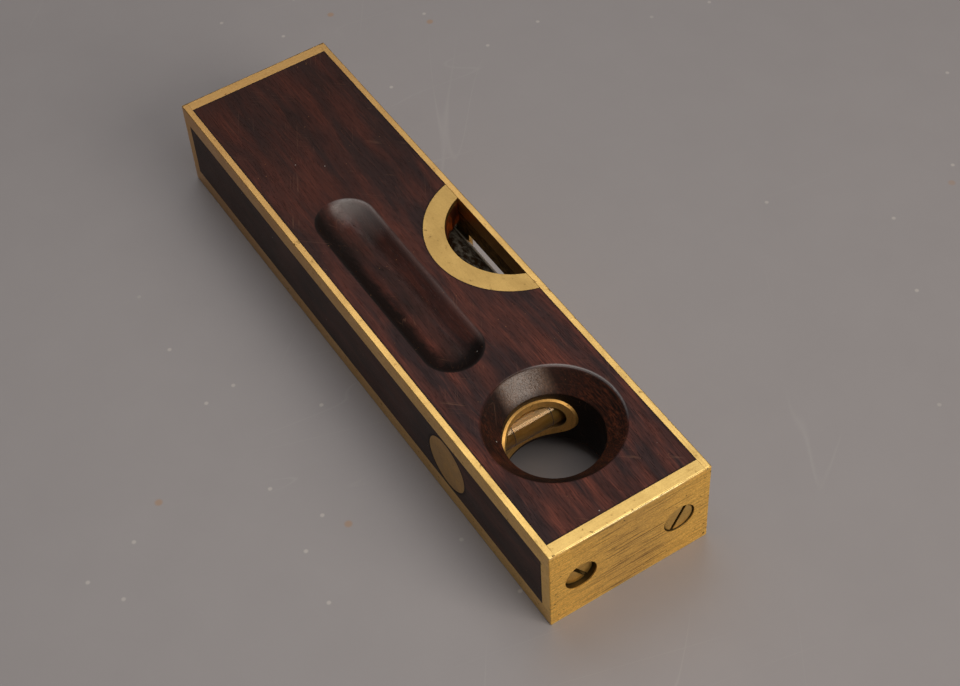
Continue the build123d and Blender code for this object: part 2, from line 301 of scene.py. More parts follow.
def wood_colour(s):
    """Dark rosewood: red flames between near-black streaks along X, darker towards the far end."""
    drift = s.noise(s.grid(12, 20, 20), detail=2)
    swirl = s.noise(s.grid(45, 70, 70), detail=2)
    bend = s.math("ADD", s.times(drift, 0.007), s.times(swirl, 0.0016))
    warp = s.node("ShaderNodeCombineXYZ", {"X": 0.0, "Y": bend, "Z": bend})
    place = s.node("ShaderNodeVectorMath", {0: s.place, 1: warp.outputs[0]}, operation="ADD").outputs[0]
    patches = s.noise(s.grid(38, 190, 120, place=place), detail=3, rough=0.55)
    streaks = s.noise(s.grid(42, 400, 300, place=place), detail=6, rough=0.64)
    threads = s.noise(s.grid(110, 3200, 2400, place=place), detail=3, rough=0.6)
    pores = s.noise(s.grid(230, 5600, 5600, place=place), detail=3)
    x = s.axes()[0]
    near = s.band(s.math("ADD", x, s.times(swirl, 0.03)), -50 * MM, 45 * MM)
    flame = s.mix(near, (0.100, 0.024, 0.015), (0.178, 0.048, 0.031))
    ground = s.mix(near, (0.042, 0.015, 0.010), (0.054, 0.026, 0.025))
    red = s.mix(s.band(patches, 0.41, 0.59), ground, flame)
    brown = s.mix(s.band(streaks, 0.35, 0.61, 0.10, 1.0), (0.017, 0.009, 0.009), red)
    grain = s.mix(s.band(threads, 0.36, 0.58, 0.62, 0.0), brown, (0.014, 0.007, 0.007))
    bright = s.times(s.band(threads, 0.56, 0.70), s.band(streaks, 0.44, 0.62))
    grain = s.mix(s.times(bright, 0.42), grain, (0.27, 0.080, 0.045))
    pore = s.band(pores, 0.35, 0.41, 1.0, 0.0)
    grain = s.mix(s.times(pore, 0.8), grain, (0.005, 0.003, 0.003))
    far_plain = s.mix(s.band(patches, 0.36, 0.64), (0.029, 0.0125, 0.0100), (0.057, 0.0165, 0.0100))
    near_plain = s.mix(s.band(patches, 0.38, 0.62), (0.040, 0.022, 0.022), (0.120, 0.038, 0.027))
    plain = s.mix(near, far_plain, near_plain)
    return s.mix(s.band(x, -10 * MM, 65 * MM, 0.62, 0.34), grain, plain), threads, pore


def from_grip(s):
    """Distance from the middle line of the finger grips."""
    x, y, _ = s.axes()
    beyond = s.most(s.math("SUBTRACT", s.size(x), GRIP_RUN), 0.0)
    aside = s.math("SUBTRACT", y, GRIP_Y)
    return s.math("SQRT", s.math("ADD", s.times(beyond, beyond), s.times(aside, aside)))


def rosewood():
    s = Shader("rosewood")
    colour, threads, pore = wood_colour(s)
    x, y, z = s.axes()
    on_sole = s.band(y, 0.2 * MM - WIDTH / 2, 0.4 * MM - WIDTH / 2, 1.0, 0.0)
    colour = s.mix(s.times(on_sole, 0.42), colour, (0.090, 0.070, 0.058))
    from_cap = s.from_axis((CAP_X, 0, MID_Z), (1, 0, 1))
    round_cap = s.times(on_sole, s.band(from_cap, CAP_R, CAP_R + 0.9 * MM, 1.0, 0.0))
    colour = s.mix(s.times(round_cap, 0.8), colour, (0.006, 0.004, 0.003))

    edge_y = near_line(s, s.size(y), WIDTH / 2 - STRIP_DEEP, 0.5 * MM)
    edge_x = near_line(s, s.size(x), LENGTH / 2 - END_THICK, 0.5 * MM)
    from_window = s.from_axis(WINDOW_CENTRE, (1, 1, 0))
    edge_moon = near_line(s, from_window, MOON_R, 0.5 * MM)
    grime = s.most(edge_y, edge_x, edge_moon)
    colour = s.mix(s.times(grime, 0.75), colour, (0.012, 0.008, 0.007))

    # the plumb hole: varnished dark, with red flecks along the grain, painted shade towards its far
    # side, on its near-sole side and down its bore, and painted highlights on part of its rim and flare
    from_hole = s.from_axis((HOLE_X, 0, 0), (1, 1, 0))
    in_hole = s.band(from_hole, HOLE_R - 0.3 * MM, HOLE_R + 0.2 * MM, 1.0, 0.0)
    stain = s.band(s.noise(s.grid(330, 420, 150), detail=6, rough=0.7), 0.44, 0.66)
    flecks = s.noise(s.grid(170, 2700, 2700), detail=4, rough=0.65)
    fleck = s.times(s.band(flecks, 0.42, 0.62), s.band(stain, 0.0, 1.0, 0.35, 1.0))
    inner_tone_and_shade = s.mix(fleck, (0.010, 0.004, 0.002), (0.175, 0.043, 0.016))
    to_side = s.math("SUBTRACT", x, HOLE_X)
    # painted shade: the hole darker towards its far side
    inner_tone_and_shade = s.mix(s.band(to_side, -13 * MM, 6 * MM, 0.86, 0.0), inner_tone_and_shade, (0.007, 0.003, 0.0015))
    colour = s.mix(s.times(in_hole, 0.9), colour, inner_tone_and_shade)
    # painted shade: the hole darker on its near-sole side
    to_near_sole = s.math("SUBTRACT", s.times(to_side, 0.8), s.times(y, 0.6))
    near_sole_side = s.times(in_hole, s.band(to_near_sole, 9 * MM, 14 * MM))
    colour = s.mix(s.times(near_sole_side, 0.85), colour, (0.007, 0.004, 0.003))
    rim_side = s.band(s.math("SUBTRACT", y, s.times(to_side, 0.45)), 9 * MM, 16 * MM)
    # painted highlight: a pale line along the hole's rim on its top-edge side
    rim = s.times(near_line(s, from_hole, HOLE_R + 0.1 * MM, 0.25 * MM), rim_side)
    colour = s.mix(s.times(rim, 0.95), colour, (0.36, 0.33, 0.33))

    in_window = s.band(from_window, MOON_R - 5.0 * MM, MOON_R - 4.0 * MM, 1.0, 0.0)
    amber = s.mix(stain, (0.030, 0.007, 0.002), (0.45, 0.080, 0.010))
    colour = s.mix(s.times(in_window, 0.92), colour, amber)

    worn = s.noise(s.grid(60, 130, 100), detail=4, rough=0.6)

    # the finger grips: painted shade against their sole side and near end, and painted highlights on
    # their far end and top-side rim
    below_face = s.math("SUBTRACT", MID_Z, s.size(s.math("SUBTRACT", z, MID_Z)))
    off_line = from_grip(s)
    ragged = s.times(stain, 1.2 * MM)
    in_grip = s.band(off_line, 7.3 * MM, 7.6 * MM, 1.0, 0.0)
    mottle = s.band(worn, 0.42, 0.60, 0.62, 0.12)
    colour = s.mix(s.times(in_grip, mottle), colour, (0.016, 0.007, 0.004))
    sole_side = s.band(s.math("SUBTRACT", y, ragged), -11.4 * MM, -8.8 * MM, 1.0, 0.0)
    sole_side = s.times(sole_side, s.band(x, -33 * MM, -30.5 * MM))
    near_side = s.band(s.math("ADD", x, ragged), 22.5 * MM, 26 * MM)
    # painted shade: near-black against the sole side and near end of each grip
    darkening = s.times(in_grip, s.most(sole_side, near_side))
    colour = s.mix(s.times(darkening, 0.93), colour, (0.006, 0.003, 0.002))
    far_side = s.times(s.band(x, -27 * MM, -15 * MM, 1.0, 0.0), s.band(y, -8.0 * MM, -4.0 * MM))
    # painted highlight: pale on the far end of each grip, towards its top side
    far_end_highlight = s.times(in_grip, s.band(off_line, 2.2 * MM, 6.4 * MM), far_side)
    colour = s.mix(s.times(far_end_highlight, 0.9), colour, (0.205, 0.176, 0.168))
    top_side = s.times(s.band(y, -3 * MM, -1 * MM), s.band(x, 24 * MM, 27 * MM, 1.0, 0.0))
    # painted highlight: a pale band along the top-side rim of each grip
    top_rim_highlight = s.times(near_line(s, off_line, 6.8 * MM, 0.9 * MM), top_side)
    colour = s.mix(s.times(top_rim_highlight, 0.32), colour, (0.200, 0.130, 0.118))

    normal = s.axes(s.node("ShaderNodeNewGeometry").outputs["Normal"])
    flat = s.band(s.most(s.size(normal[1]), s.size(normal[2])), 0.95, 0.995)
    curved = s.band(flat, 0.0, 1.0, 1.0, 0.0)
    flare_gloss_and_highlight = s.times(
        in_hole,
        s.band(from_hole, 10.9 * MM, 12.6 * MM),
        s.band(s.size(s.math("SUBTRACT", y, 1 * MM)), 4.4 * MM, 7 * MM, 1.0, 0.0),
        s.band(normal[0], -0.15, 0.15),
        s.band(to_side, -12 * MM, 3 * MM, 1.0, 0.25),
    )
    # painted highlight: the flare's colour lightened where its gloss catches the light
    flare_highlight = s.times(flare_gloss_and_highlight, s.band(fleck, 0.0, 0.6, 0.5, 0.95))
    colour = s.mix(flare_highlight, colour, (0.135, 0.066, 0.034))
    polished_rim = s.times(near_line(s, from_hole, HOLE_R, 0.4 * MM), rim_side)
    # painted shade: near-black down the bore
    bore = s.times(in_hole, s.band(below_face, 4.7 * MM, 5.2 * MM))
    colour = s.mix(s.times(bore, 0.9), colour, (0.006, 0.003, 0.002))
    polished_grip = s.times(in_grip, s.most(far_side, s.times(top_side, 0.4), 0.03))

    dust = s.band(s.cells(s.grid(1, 1, 1), scale=620), 0.035, 0.075, 1.0, 0.0)
    dusty = s.math("ADD", s.band(s.noise(s.grid(90, 90, 90), detail=2), 0.50, 0.64), s.times(darkening, 0.6))
    colour = s.mix(s.times(dust, dusty, 0.75), colour, (0.46, 0.21, 0.08))
    specks = s.band(s.cells(s.grid(1, 1, 1), scale=150), 0.018, 0.030, 1.0, 0.0)
    colour = s.mix(s.times(specks, 0.7), colour, (0.52, 0.47, 0.42))
    hairs = s.most(scratches(s, 28, 1.0), scratches(s, -47, 3.0))
    colour = s.mix(s.times(hairs, 0.25), colour, (0.30, 0.15, 0.09))

    rough = s.math("ADD", s.band(worn, 0.3, 0.7, 0.30, 0.40), s.times(s.most(flat, in_hole, darkening), 0.22))
    turned_at = s.node("ShaderNodeCombineXYZ", {"X": s.times(from_hole, 2600.0), "Y": 0.0, "Z": 0.0})
    turned = s.times(s.noise(turned_at.outputs[0], detail=3), in_hole)
    height = s.math("ADD", s.times(threads, 0.6), s.times(pore, -1.0))
    height = s.math("ADD", height, s.times(turned, 0.6))
    height = s.math("ADD", height, s.times(flecks, in_hole, 2.0))
    relief = s.bump(height, 0.03 * MM, s.bump(worn, 0.12 * MM))
    return s.surface(
        Base_Color=colour,
        Roughness=rough,
        Specular_IOR_Level=0.16,
        Coat_Weight=s.times(curved, s.most(flare_gloss_and_highlight, polished_grip, polished_rim)),
        Coat_Roughness=0.29,
        Normal=relief,
        Coat_Normal=relief,
    )


def brass_nodes(s, tone, dark, rough, grain, tarnish, marks_deep=0.012):
    """Colour, roughness and normal of old brass. grain is its file marks to the metre on each axis."""
    clouds = s.noise(s.grid(110, 160, 160), detail=5, rough=0.62)
    speckle = s.noise(s.grid(2600, 2600, 2600), detail=3, rough=0.7)
    spots = s.noise(s.grid(800, 800, 800), detail=3, rough=0.6)
    marks = s.noise(s.grid(*grain), detail=4, rough=0.7)
    fine = s.noise(s.grid(*(3.3 * g for g in grain)), detail=2)
    colour = s.mix(s.band(clouds, 0.40, 0.72, 0.0, tarnish), tone, dark)
    colour = s.mix(s.band(marks, 0.50, 0.72, 0.0, 0.45), colour, dark)
    colour = s.mix(s.band(speckle, 0.48, 0.72, 0.0, 0.5), colour, dark)
    colour = s.mix(s.band(spots, 0.66, 0.74, 0.0, 0.65), colour, (0.14, 0.08, 0.035))
    cloudy_rough = s.band(clouds, 0.3, 0.7, rough - 0.05, rough + 0.05)
    roughness = s.math("ADD", cloudy_rough, s.band(spots, 0.6, 0.74, 0.0, 0.2))
    pits = s.band(spots, 0.64, 0.74, 0.0, -1.0)
    height = s.math("ADD", s.math("ADD", marks, s.times(fine, 0.5)), s.times(speckle, 0.35))
    height = s.math("ADD", height, pits)
    return colour, roughness, s.bump(height, marks_deep * MM)


def brass(name, tone, dark, rough, grain, tarnish=0.35):
    s = Shader(name)
    colour, roughness, normal = brass_nodes(s, tone, dark, rough, grain, tarnish)
    return s.surface(Base_Color=colour, Metallic=1.0, Roughness=roughness, Normal=normal)


# dark brown painted into the screw holes and slots and round the screw heads: painted shade in the
# counterbores and round the heads
SCREW_DARK = (0.030, 0.017, 0.008)


def brass_far_shade(s, colour):
    """Brass painted browner towards the far end: painted shade."""
    return s.mix(s.band(s.axes()[0], -65 * MM, 65 * MM, 0.62, 0.0), colour, (0.50, 0.24, 0.09))


def filed_end(s, colour, roughness, normal):
    """Ends of the brass: draw-filed across, pitted, and darker in the middle of the face."""
    x, y, z = s.axes()
    face = s.band(s.size(x), LENGTH / 2 - 0.2 * MM, LENGTH / 2 - 0.1 * MM)
    broad = s.noise(s.grid(300, 26, 700), detail=4, rough=0.6)
    inward = s.band(s.size(y), 3 * MM, 18 * MM, 0.7, 0.0)
    middle = s.band(s.math("ADD", inward, s.times(broad, 0.6)), 0.4, 1.05)
    lines = s.noise(s.grid(900, 75, 2300), detail=4, rough=0.68)
    fine_lines = s.noise(s.grid(900, 320, 4300), detail=2)
    grains = s.noise(s.grid(2300, 2000, 2300), detail=2)
    pitting = s.noise(s.grid(1500, 1300, 1700), detail=2)
    near_edge = s.band(s.size(y), WIDTH / 2 - 5 * MM, WIDTH / 2 - 1 * MM)
    pits = s.most(s.band(pitting, 0.70, 0.75), s.times(near_edge, s.band(pitting, 0.65, 0.70)))
    filed = s.mix(s.band(grains, 0.40, 0.62, 0.0, 0.6), (1.0, 0.62, 0.145), (0.66, 0.35, 0.07))
    filed = s.mix(s.band(fine_lines, 0.44, 0.66, 0.0, 0.55), filed, (0.50, 0.27, 0.07))
    filed = s.mix(s.times(middle, 0.45), filed, (0.52, 0.31, 0.11))
    line = s.times(s.band(lines, 0.53, 0.63), s.band(middle, 0.0, 1.0, 0.30, 1.0))
    filed = s.mix(s.times(line, 0.85), filed, (0.16, 0.080, 0.028))
    filed = s.mix(s.times(pits, 0.9), filed, (0.030, 0.015, 0.006))
    height = s.math("ADD", s.math("SUBTRACT", s.times(grains, 0.6), line), s.times(fine_lines, 0.6))
    above = s.size(s.math("SUBTRACT", z, MID_Z))
    # painted highlight: bright brass along the top and bottom edges of the end face
    edge = s.times(
        s.band(s.size(x), LENGTH / 2 - 0.5 * MM, LENGTH / 2 - 0.3 * MM),
        s.band(above, MID_Z - 0.5 * MM, MID_Z - 0.3 * MM),
        s.band(lines, 0.36, 0.48),
    )
    filed = s.mix(edge, filed, (1.0, 0.74, 0.34))
    return (
        s.mix(face, colour, filed),
        s.math("SUBTRACT", s.math("ADD", roughness, s.times(face, 0.28)), s.times(edge, 0.4)),
        s.bump(s.times(height, face), 0.06 * MM, normal),
        s.band(face, 0.0, 1.0, 1.0, 0.62),
    )


def binding_brass():
    """The corner strips, with ends filed together with the end plates."""
    s = Shader("binding_brass")
    tones = (1.0, 0.66, 0.215), (0.56, 0.34, 0.11)
    colour, roughness, normal = brass_nodes(s, *tones, 0.38, (70, 1900, 1900), 0.35)
    colour, roughness, normal, metal = filed_end(s, brass_far_shade(s, colour), roughness, normal)
    return s.surface(Base_Color=colour, Metallic=metal, Roughness=roughness, Normal=normal)


def end_brass():
    """The end plates, with painted shade in their screw holes."""
    s = Shader("end_brass")
    tones = (1.0, 0.68, 0.23), (0.74, 0.46, 0.14)
    colour, roughness, normal = brass_nodes(s, *tones, 0.44, (1900, 70, 1900), 0.2, 0.02)
    colour, roughness, normal, metal = filed_end(s, brass_far_shade(s, colour), roughness, normal)
    # painted shade: dark brown down the counterbore round each screw head
    into_hole = s.times(s.screw_mask(COUNTERBORE_R + 0.1 * MM), s.below_end(0.05 * MM, 0.4 * MM))
    colour = s.mix(s.times(into_hole, 0.92), colour, SCREW_DARK)
    roughness = s.math("ADD", roughness, s.times(into_hole, 0.2))
    return s.surface(Base_Color=colour, Metallic=metal, Roughness=roughness, Normal=normal)


def screw_brass():
    """Screw heads of darker brass, darker in their slots, with painted shade round their rims."""
    s = Shader("screw_brass")
    tones = (0.86, 0.56, 0.16), (0.50, 0.29, 0.08)
    colour, roughness, normal = brass_nodes(s, *tones, 0.42, (900, 300, 900), 0.6, 0.02)
    x, y, _ = s.axes()
    sink = s.band(y, -1 * MM, 1 * MM, END_SINKS["sole"], END_SINKS["top"])
    below_head = s.math("SUBTRACT", s.math("SUBTRACT", LENGTH / 2, s.size(x)), sink)
    at_end = s.band(s.size(x), 50 * MM, 51 * MM)
    in_slot = s.times(s.band(below_head, 0.08 * MM, 0.3 * MM), at_end)
    # painted shade round the rim of each end screw's head
    rim = s.band(s.from_screw(), END_HEAD_R - 0.35 * MM, END_HEAD_R - 0.1 * MM, 0.0, 0.6)
    rim = s.times(rim, s.band(s.size(x), 70 * MM, 71 * MM))
    below_top = s.band(y, WIDTH / 2 - 0.3 * MM, WIDTH / 2 - 0.1 * MM, 1.0, 0.0)
    top_slot = s.times(below_top, s.band(at_end, 0.0, 1.0, 1.0, 0.0))
    darkening = s.most(in_slot, rim, top_slot)
    colour = s.mix(s.times(darkening, 0.92), colour, SCREW_DARK)
    roughness = s.math("ADD", roughness, s.times(darkening, 0.3))
    return s.surface(Base_Color=colour, Metallic=1.0, Roughness=roughness, Normal=normal)


def top_plate_brass():
    """The plate over the level vial, bright outside, with painted shade on its inside."""
    s = Shader("top_plate_brass")
    tones = (0.80, 0.51, 0.17), (0.50, 0.30, 0.10)
    colour, roughness, normal = brass_nodes(s, *tones, 0.36, (60, 1500, 1500), 0.35)
    underside = WIDTH / 2 - STRIP_DEEP
    inside = s.band(s.axes()[1], underside + 0.1 * MM, underside + 0.2 * MM, 1.0, 0.0)
    patches = s.band(s.noise(s.grid(500, 900, 900), detail=5, rough=0.65), 0.4, 0.62)
    # painted shade: the plate's inside darkened where it lies in shade
    inner_tone_and_shade = s.mix(patches, (0.09, 0.052, 0.016), (0.34, 0.205, 0.070))
    colour = s.mix(s.times(inside, 0.95), colour, inner_tone_and_shade)
    roughness = s.math("ADD", roughness, s.times(inside, 0.2))
    return s.surface(Base_Color=colour, Metallic=1.0, Roughness=roughness, Normal=normal)


def tube_brass():
    """Turned brass whose inside is coated with old yellow putty, which backs the vial."""
    s = Shader("tube_brass")
    tones = (0.92, 0.55, 0.17), (0.50, 0.27, 0.08)
    colour, roughness, normal = brass_nodes(s, *tones, 0.62, (1500, 1500, 200), 0.3, 0.04)
    along = s.axes()[1]
    on_sole = s.band(along, 0.4 * MM - WIDTH / 2, 0.5 * MM - WIDTH / 2, 1.0, 0.0)
    soiled = s.band(s.noise(s.grid(260, 260, 260), detail=5, rough=0.65), 0.38, 0.62, 0.62, 0.88)
    colour = s.mix(s.times(on_sole, soiled), colour, (0.47, 0.315, 0.155))
    low, high = (Vector(corner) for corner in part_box("plumb_tube"))
    from_axis = s.from_axis(((low.x + high.x) / 2, 0.0, MID_Z), (1, 0, 1))
    bore = size_of("plumb_vial_plaster_top").z / 2
    past_cap = s.band(along, 2.5 * MM - WIDTH / 2, 2.7 * MM - WIDTH / 2)
    inside = s.times(past_cap, s.band(from_axis, bore + 0.04 * MM, bore + 0.12 * MM, 1.0, 0.0))
    putty = s.noise(s.grid(700, 260, 700), detail=5, rough=0.6)
    coated = s.mix(s.band(putty, 0.3, 0.7), (0.52, 0.27, 0.085), (0.82, 0.52, 0.21))
    # painted shade: the putty darkened towards the top-edge end of the vial
    vial_end_shade = s.band(along, 5.5 * MM, 7.5 * MM, 0.0, 0.85)
    coated = s.mix(vial_end_shade, coated, (0.10, 0.050, 0.018))
    return s.surface(
        Base_Color=s.mix(inside, colour, coated),
        Metallic=s.band(inside, 0.0, 1.0, 1.0, 0.0),
        Roughness=s.most(roughness, s.times(inside, 0.7)),
        Normal=normal,
    )


def vial_glass():
    """Old glass: a warm tint on the plumb vial, and the level vial clouded dark as painted shade except
    under the sight.
    """
    s = Shader("vial_glass")
    smears = s.noise(s.grid(240, 240, 240), detail=3)
    darkening = s.noise(s.grid(500, 900, 900), detail=5, rough=0.65)
    at_plumb = s.at_plumb()
    # painted shade: the level vial clouded dark and dull, but not under the sight
    clouded = s.band(at_plumb, 0.0, 1.0, s.band(darkening, 0.36, 0.56, 0.86, 1.0), 0.0)
    clouded = s.times(clouded, s.band(s.axes()[1], 17.0 * MM, 17.8 * MM, 1.0, 0.12))
    clouded_shade = s.mix(s.band(darkening, 0.44, 0.64), (0.010, 0.0055, 0.003), (0.026, 0.0125, 0.005))
    clear = s.mix(at_plumb, (0.80, 0.74, 0.60), (0.98, 0.80, 0.50))
    return s.surface(
        Base_Color=s.mix(clouded, clear, clouded_shade),
        Metallic=s.times(clouded, 0.85),
        Roughness=s.math("ADD", s.band(smears, 0.4, 0.8, 0.03, 0.09), s.times(clouded, 0.8)),
        IOR=1.5,
        Specular_Tint=(1.0, 0.74, 0.48, 1.0),
        Transmission_Weight=s.band(clouded, 0.0, 1.0, 1.0, 0.0),
        Normal=s.bump(smears, 0.01 * MM),
    )


def glass(name, tint, ior, cloudy=0.0):
    """A clear liquid or gas. Where cloudy, the part by the plumb hole also scatters light."""
    s = Shader(name)
    smears = s.noise(s.grid(240, 240, 240), detail=3)
    at_plumb = s.at_plumb()
    return s.surface(
        Base_Color=s.mix(s.band(smears, 0.4, 0.7), tint, tuple(0.97 * c for c in tint)),
        Roughness=s.band(smears, 0.4, 0.8, 0.0, 0.02),
        IOR=ior,
        Transmission_Weight=s.band(at_plumb, 0.0, 1.0, 1.0, 1.0 - cloudy),
        Normal=s.bump(smears, 0.01 * MM),
    )


def plaster():
    s = Shader("plaster")
    lumps = s.noise(s.grid(900, 900, 900), detail=5, rough=0.6)
    return s.surface(
        Base_Color=s.mix(lumps, (0.42, 0.34, 0.22), (0.62, 0.55, 0.42)),
        Roughness=0.85,
        Normal=s.bump(lumps, 0.08 * MM),
    )


def marker_paint():
    s = Shader("marker_paint")
    flakes = s.noise(s.grid(2500, 2500, 2500), detail=3)
    return s.surface(
        Base_Color=s.mix(s.band(flakes, 0.4, 0.7), (0.055, 0.040, 0.026), (0.022, 0.015, 0.009)),
        Roughness=0.6,
        Normal=s.bump(flakes, 0.01 * MM),
    )


def floor_material():
    """Painted board, faintly mottled, with a few hair scratches and crumbs of dust."""
    s = Shader("floor")
    clouds = s.noise(s.grid(6, 6, 6), detail=4)
    mottle = s.noise(s.grid(60, 60, 60), detail=5, rough=0.6)
    dust = s.noise(s.grid(700, 700, 700), detail=3)
    colour = s.mix(clouds, (0.320, 0.294, 0.294), (0.358, 0.328, 0.328))
    colour = s.mix(s.band(mottle, 0.35, 0.65, 0.0, 0.12), colour, (0.27, 0.245, 0.245))
    long_lines = s.noise(s.grid(3.2, 30, 1, turn=35), detail=2)
    short_lines = s.noise(s.grid(34, 4, 1, turn=12), detail=2)
    hairs = s.most(near_line(s, long_lines, 0.5, 0.0022), near_line(s, short_lines, 0.52, 0.0022))
    broken = s.band(s.noise(s.grid(14, 14, 14), detail=2), 0.56, 0.64)
    colour = s.mix(s.times(hairs, broken, 0.12), colour, (0.58, 0.54, 0.52))
    sparse = s.band(s.noise(s.grid(9, 9, 9)), 0.52, 0.55)
    brown_crumbs = s.band(s.cells(s.grid(1, 1, 1), 17, "2D"), 0.010, 0.020, 1.0, 0.0)
    pale_crumbs = s.band(s.cells(s.grid(1, 1, 1), 41, "2D"), 0.014, 0.026, 1.0, 0.0)
    colour = s.mix(s.times(brown_crumbs, sparse, 0.6), colour, (0.40, 0.23, 0.12))
    colour = s.mix(s.times(pale_crumbs, sparse, 0.45), colour, (0.66, 0.60, 0.55))
    fine_grain = s.noise(s.grid(1500, 1500, 1500), detail=2)
    return s.surface(
        Base_Color=colour,
        Roughness=s.band(clouds, 0.3, 0.7, 0.36, 0.42),
        Specular_IOR_Level=0.35,
        Normal=s.bump(fine_grain, 0.010 * MM, s.bump(dust, 0.008 * MM)),
    )


def make_floor():
    """A wide round floor, far larger than the view."""
    mesh = bmesh.new()
    bmesh.ops.create_circle(mesh, cap_ends=True, radius=6.0, segments=96)
    floor = finish_mesh(mesh, "floor", floor_material(), smooth=False)


# ---- pieces --------------------------------------------------------------------------------


def finish_mesh(mesh, name, material, smooth=True):
    """Turns a bmesh into an object of the scene."""
    data = bpy.data.meshes.new(name)
    mesh.to_mesh(data)
    mesh.free()
    data.materials.append(material)
    for polygon in data.polygons:
        polygon.use_smooth = smooth
    piece = bpy.data.objects.new(name, data)
    bpy.context.scene.collection.objects.link(piece)
    return piece


def join_rings(mesh, rings):
    """Faces between each ring of points and the next."""
    for ring, following in zip(rings, rings[1:]):
        for k in range(len(ring)):
            after = (k + 1) % len(ring)
            mesh.faces.new((ring[k], ring[after], following[after], following[k]))


def close_ends(mesh, rings):
    """Faces over the first and last rings, then all faces turned outward."""
    mesh.faces.new(rings[0])
    mesh.faces.new(rings[-1])
    bmesh.ops.recalc_face_normals(mesh, faces=mesh.faces)


def stand_for(piece, body, node):
    """The piece rides on a body in place of a CAD node, which is hidden."""
    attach(piece, body)
    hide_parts(node)


def keep_flats_flat(piece, sharp=50):
    """Smooth bevels beside faces that stay flat."""
    piece.data.set_sharp_from_angle(angle=math.radians(sharp))
    weights = piece.modifiers.new("weights", "WEIGHTED_NORMAL")
    weights.keep_sharp = True


def wander(x, seed, reach):
    """Smooth noise along a line, from -1 to 1, with a wavelength of about the reach."""
    return noise.noise(Vector((x / reach, seed * 7.31, seed * 1.7)))


def strip_profile(x, seed, deep, wide, nick):
    """The strip's section at x: (out, up) points, its outside corner at (deep, wide)."""
    outside = (0.24 + 0.03 * wander(x, seed, 9 * MM)) * MM + nick
    seam = (0.03 + 0.02 * wander(x, seed + 1, 0.7 * MM)) * MM
    ragged = max(0.0, 0.01 + 0.03 * wander(x, seed + 2, 1.1 * MM)) * MM
    corners = (
        (deep - outside, wide - outside, outside, 6),
        (ragged + seam, wide - seam, seam, 2),
        (0.02 * MM, 0.02 * MM, 0.01 * MM, 1),
        (deep - seam, ragged + seam, seam, 2),
    )
    points = []
    for quarter, (out, up, radius, steps) in enumerate(corners):
        for step in range(steps + 1):
            angle = math.radians(90 * (quarter + step / steps))
            points.append((out + radius * math.cos(angle), up + radius * math.sin(angle)))
    return points


def worn_strip(node, seed):
    """A corner strip with a worn, nicked outside edge and slightly ragged seams."""
    low, high = (Vector(corner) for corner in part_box(node))
    side_y = math.copysign(1, low.y + high.y)
    side_z = math.copysign(1, low.z + high.z - THICK)
    deep, wide = high.y - low.y, high.z - low.z
    chance = random.Random(seed)
    nicks = []
    for _ in range(30):
        nicks.append((chance.uniform(low.x, high.x), chance.uniform(0.12, 0.4), chance.random()))
    end_round = 0.22 * MM
    count = round((high.x - low.x) / (0.4 * MM))
    straight = high.x - low.x - 2 * end_round
    stations = [low.x + end_round * f for f in (0, 0.13, 0.5)]
    stations += [low.x + end_round + straight * k / count for k in range(count + 1)]
    stations += [high.x - end_round * f for f in (0.5, 0.13, 0)]
    mesh = bmesh.new()
    rings = []
    for x in stations:
        nick = 0.0
        for place, half, strength in nicks:
            nearness = max(0.0, 1 - abs(x - place) / (half * MM))
            nick += 0.28 * MM * strength**3 * nearness
        to_end = min(x - low.x, high.x - x)
        lost = max(0.0, end_round - to_end)
        inset = end_round - math.sqrt(end_round**2 - lost**2)
        ring = []
        for out, up in strip_profile(x, seed, deep, wide, nick):
            out *= 1 - inset / deep
            up *= 1 - inset / wide
            y = side_y * (WIDTH / 2 - deep + out)
            z = MID_Z + side_z * (MID_Z - wide + up)
            ring.append(mesh.verts.new((x, y, z)))
        rings.append(ring)
    join_rings(mesh, rings)
    close_ends(mesh, rings)
    piece = finish_mesh(mesh, node + "_worn", MATERIALS[SLOT_OF[node]])
    keep_flats_flat(piece)
    stand_for(piece, BODY, node)


def round_sharp_edges(mesh, offset, segments, test=None):
    """Rounds the sharp edges of a mesh, or those whose middle passes a test."""
    least = math.radians(35)
    sharp = [edge for edge in mesh.edges if edge.is_manifold and edge.calc_face_angle() > least]
    if test:
        sharp = [edge for edge in sharp if test((edge.verts[0].co + edge.verts[1].co) / 2)]
    shape = {"profile": 0.5, "affect": "EDGES", "clamp_overlap": True}
    bmesh.ops.bevel(mesh, geom=sharp, offset=offset, segments=segments, **shape)


def on_tube_outside(point):
    """Whether a point of the plumb tube is nearer to its outside than to its bore."""
    low = Vector(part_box("plumb_tube")[0])
    from_axis = math.hypot(point.x - low.x - size_of("plumb_tube").z / 2, point.z - MID_Z)
    return from_axis > (size_of("plumb_tube").z + size_of("plumb_vial_plaster_top").z) / 4


def worn_copy(node, bevel, wide_bevel=None):
    """A copy of a CAD piece with its sharp edges slightly rounded, and some of them more so."""
    mesh = bmesh.new()
    mesh.from_mesh(frame["nodes"][node].data)
    bmesh.ops.remove_doubles(mesh, verts=mesh.verts, dist=0.001 * MM)
    bmesh.ops.dissolve_limit(mesh, angle_limit=math.radians(1), verts=mesh.verts, edges=mesh.edges)
    if wide_bevel:
        offset, test = wide_bevel
        round_sharp_edges(mesh, offset, 5, test)
    round_sharp_edges(mesh, bevel, 2)
    piece = finish_mesh(mesh, node + "_worn", MATERIALS[SLOT_OF[node]])
    keep_flats_flat(piece)
    stand_for(piece, BODY, node)


